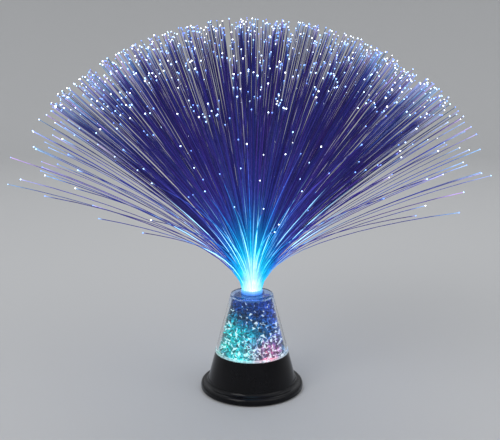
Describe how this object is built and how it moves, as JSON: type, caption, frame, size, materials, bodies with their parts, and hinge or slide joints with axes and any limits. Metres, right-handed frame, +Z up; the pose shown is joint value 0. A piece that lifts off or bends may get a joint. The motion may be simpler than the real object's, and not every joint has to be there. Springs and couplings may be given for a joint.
{
  "type": "fiber optic lamp",
  "caption": "Battery table lamp: a fan of glowing optical fibres stands in a clear cone of crystal chips, on a black tapered base with coloured LEDs inside.",
  "frame": {"origin": "on the table plane, on the lamp's vertical axis", "axes": "+Z up along the lamp's axis, -Y towards the picture's camera, +X to the right"},
  "size_m": [0.4364, 0.4364, 0.3294],
  "materials": {
    "black_gloss": "glossy black moulding",
    "black_matt": "fine spark texture, black",
    "screw_steel": "bright plated steel",
    "rubber": "matt dark rubber",
    "cell_can": "plain grey sleeve",
    "contact_metal": "nickel plated",
    "switch_can": "tinned steel can",
    "slider_plastic": "matt black",
    "board_green": "green lacquer over glass cloth",
    "chip_black": "moulded black",
    "resistor_tan": "tan lacquer with colour bands",
    "wire_red": "soft insulation",
    "white_plastic": "glossy white reflector",
    "led_white": "clear lens, lit white",
    "led_red": "tinted lens, lit red",
    "led_green": "tinted lens, lit green",
    "led_blue": "tinted lens, lit blue",
    "frosted_deck": "frosted, lit from below",
    "clear_acrylic": "clear, polished",
    "crystal": "clear chips, sharp facets, lit from below",
    "ferrule_clear": "clear sleeve, glowing rim",
    "potted_fibre": "fibres potted in clear resin",
    "fibre": "drawn plastic optical fibre, lit"
  },
  "bodies": {
    "base": {"base_shell": "black_gloss", "bottom_cover": "black_matt", "cover_screws": "screw_steel", "rubber_feet": "rubber", "batteries": "cell_can", "battery_springs": "contact_metal", "contact_plates": "contact_metal", "switch_body": "switch_can", "circuit_board": "board_green", "board_screws": "screw_steel", "controller_chip": "chip_black", "resistors": "resistor_tan", "battery_wires": "wire_red", "switch_wires": "wire_red", "reflector_cup": "white_plastic", "led_centre": "led_white", "led_red": "led_red", "led_green": "led_green", "led_blue": "led_blue", "light_deck": "frosted_deck", "light_tube": "clear_acrylic", "crystal_cone": "clear_acrylic", "crystals_lower": "crystal", "crystals_middle": "crystal", "crystals_upper": "crystal"},
    "spray": {"ferrule": "ferrule_clear", "bundle_core": "potted_fibre", "fibre_strands": "fibre"},
    "door": {"battery_door": "black_matt"},
    "slider": {"switch_slider": "slider_plastic"}
  },
  "joints": [
    {"name": "spray_lift", "type": "slide", "parent": "base", "child": "spray", "axis": [0, 0, 1], "range_m": [0, 0.03]},
    {"name": "door_hinge", "type": "hinge", "parent": "base", "child": "door", "pos_m": [0, -0.0263, 0.001], "axis": [-1, 0, 0], "range_deg": [0, 85]},
    {"name": "power_switch", "type": "slide", "parent": "base", "child": "slider", "axis": [0, 1, 0], "range_m": [0, 0.003]}
  ]
}
